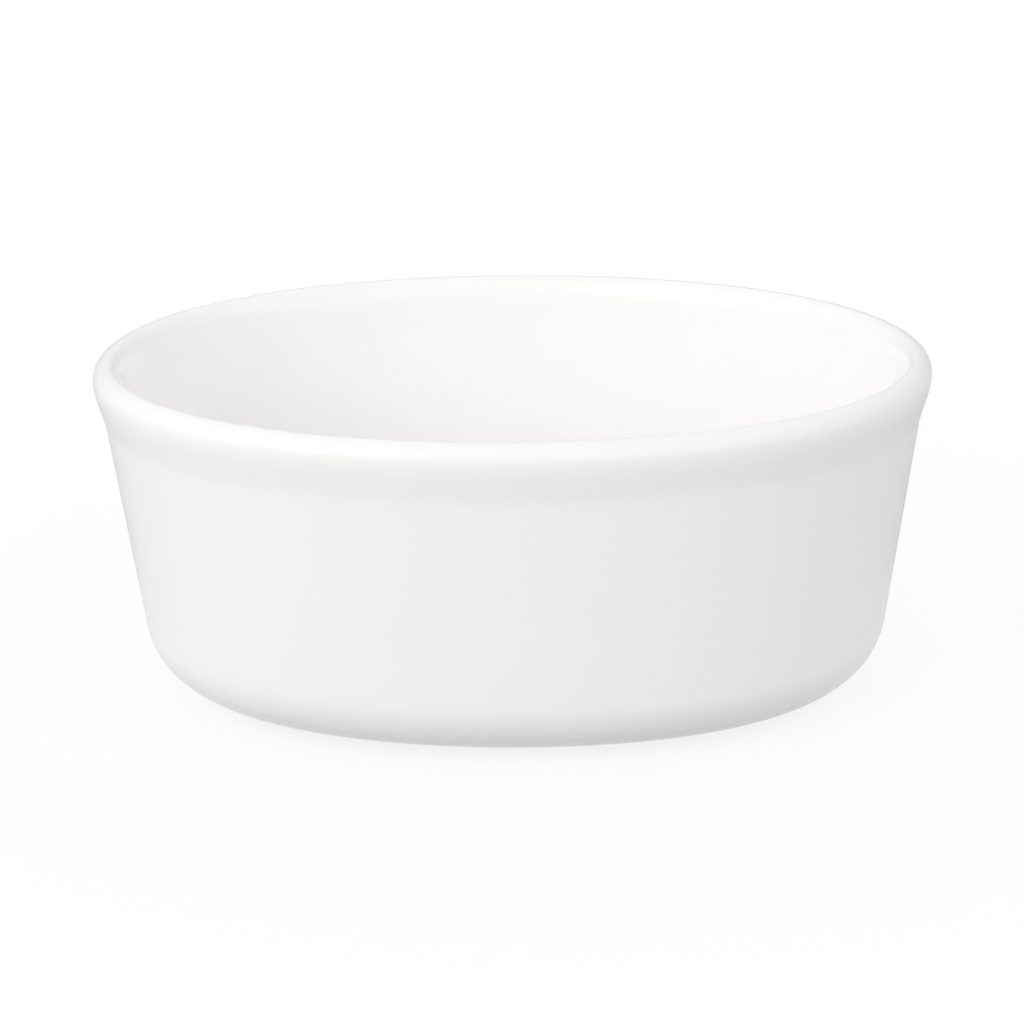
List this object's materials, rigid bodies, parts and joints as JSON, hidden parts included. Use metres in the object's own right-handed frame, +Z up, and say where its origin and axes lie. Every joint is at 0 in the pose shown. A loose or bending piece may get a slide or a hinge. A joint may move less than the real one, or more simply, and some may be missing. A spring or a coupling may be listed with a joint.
{
  "type": "oval pie dish",
  "caption": "Deep oval pie dish of white glazed porcelain: leaning smooth wall, rounded lip that stands proud of it and rolls off softly inside, wide round bottom corners and a recessed base on a bare foot ring.",
  "frame": {"origin": "under the middle of the dish, on the surface that it stands on", "axes": "+X along the oval's long axis, +Y along its short axis and away from the picture's camera, +Z up out of the open mouth"},
  "size_m": [0.16, 0.122, 0.065],
  "materials": {
    "white_glaze": "gloss"
  },
  "bodies": {
    "root": {"pie_dish": "white_glaze"}
  },
  "joints": []
}
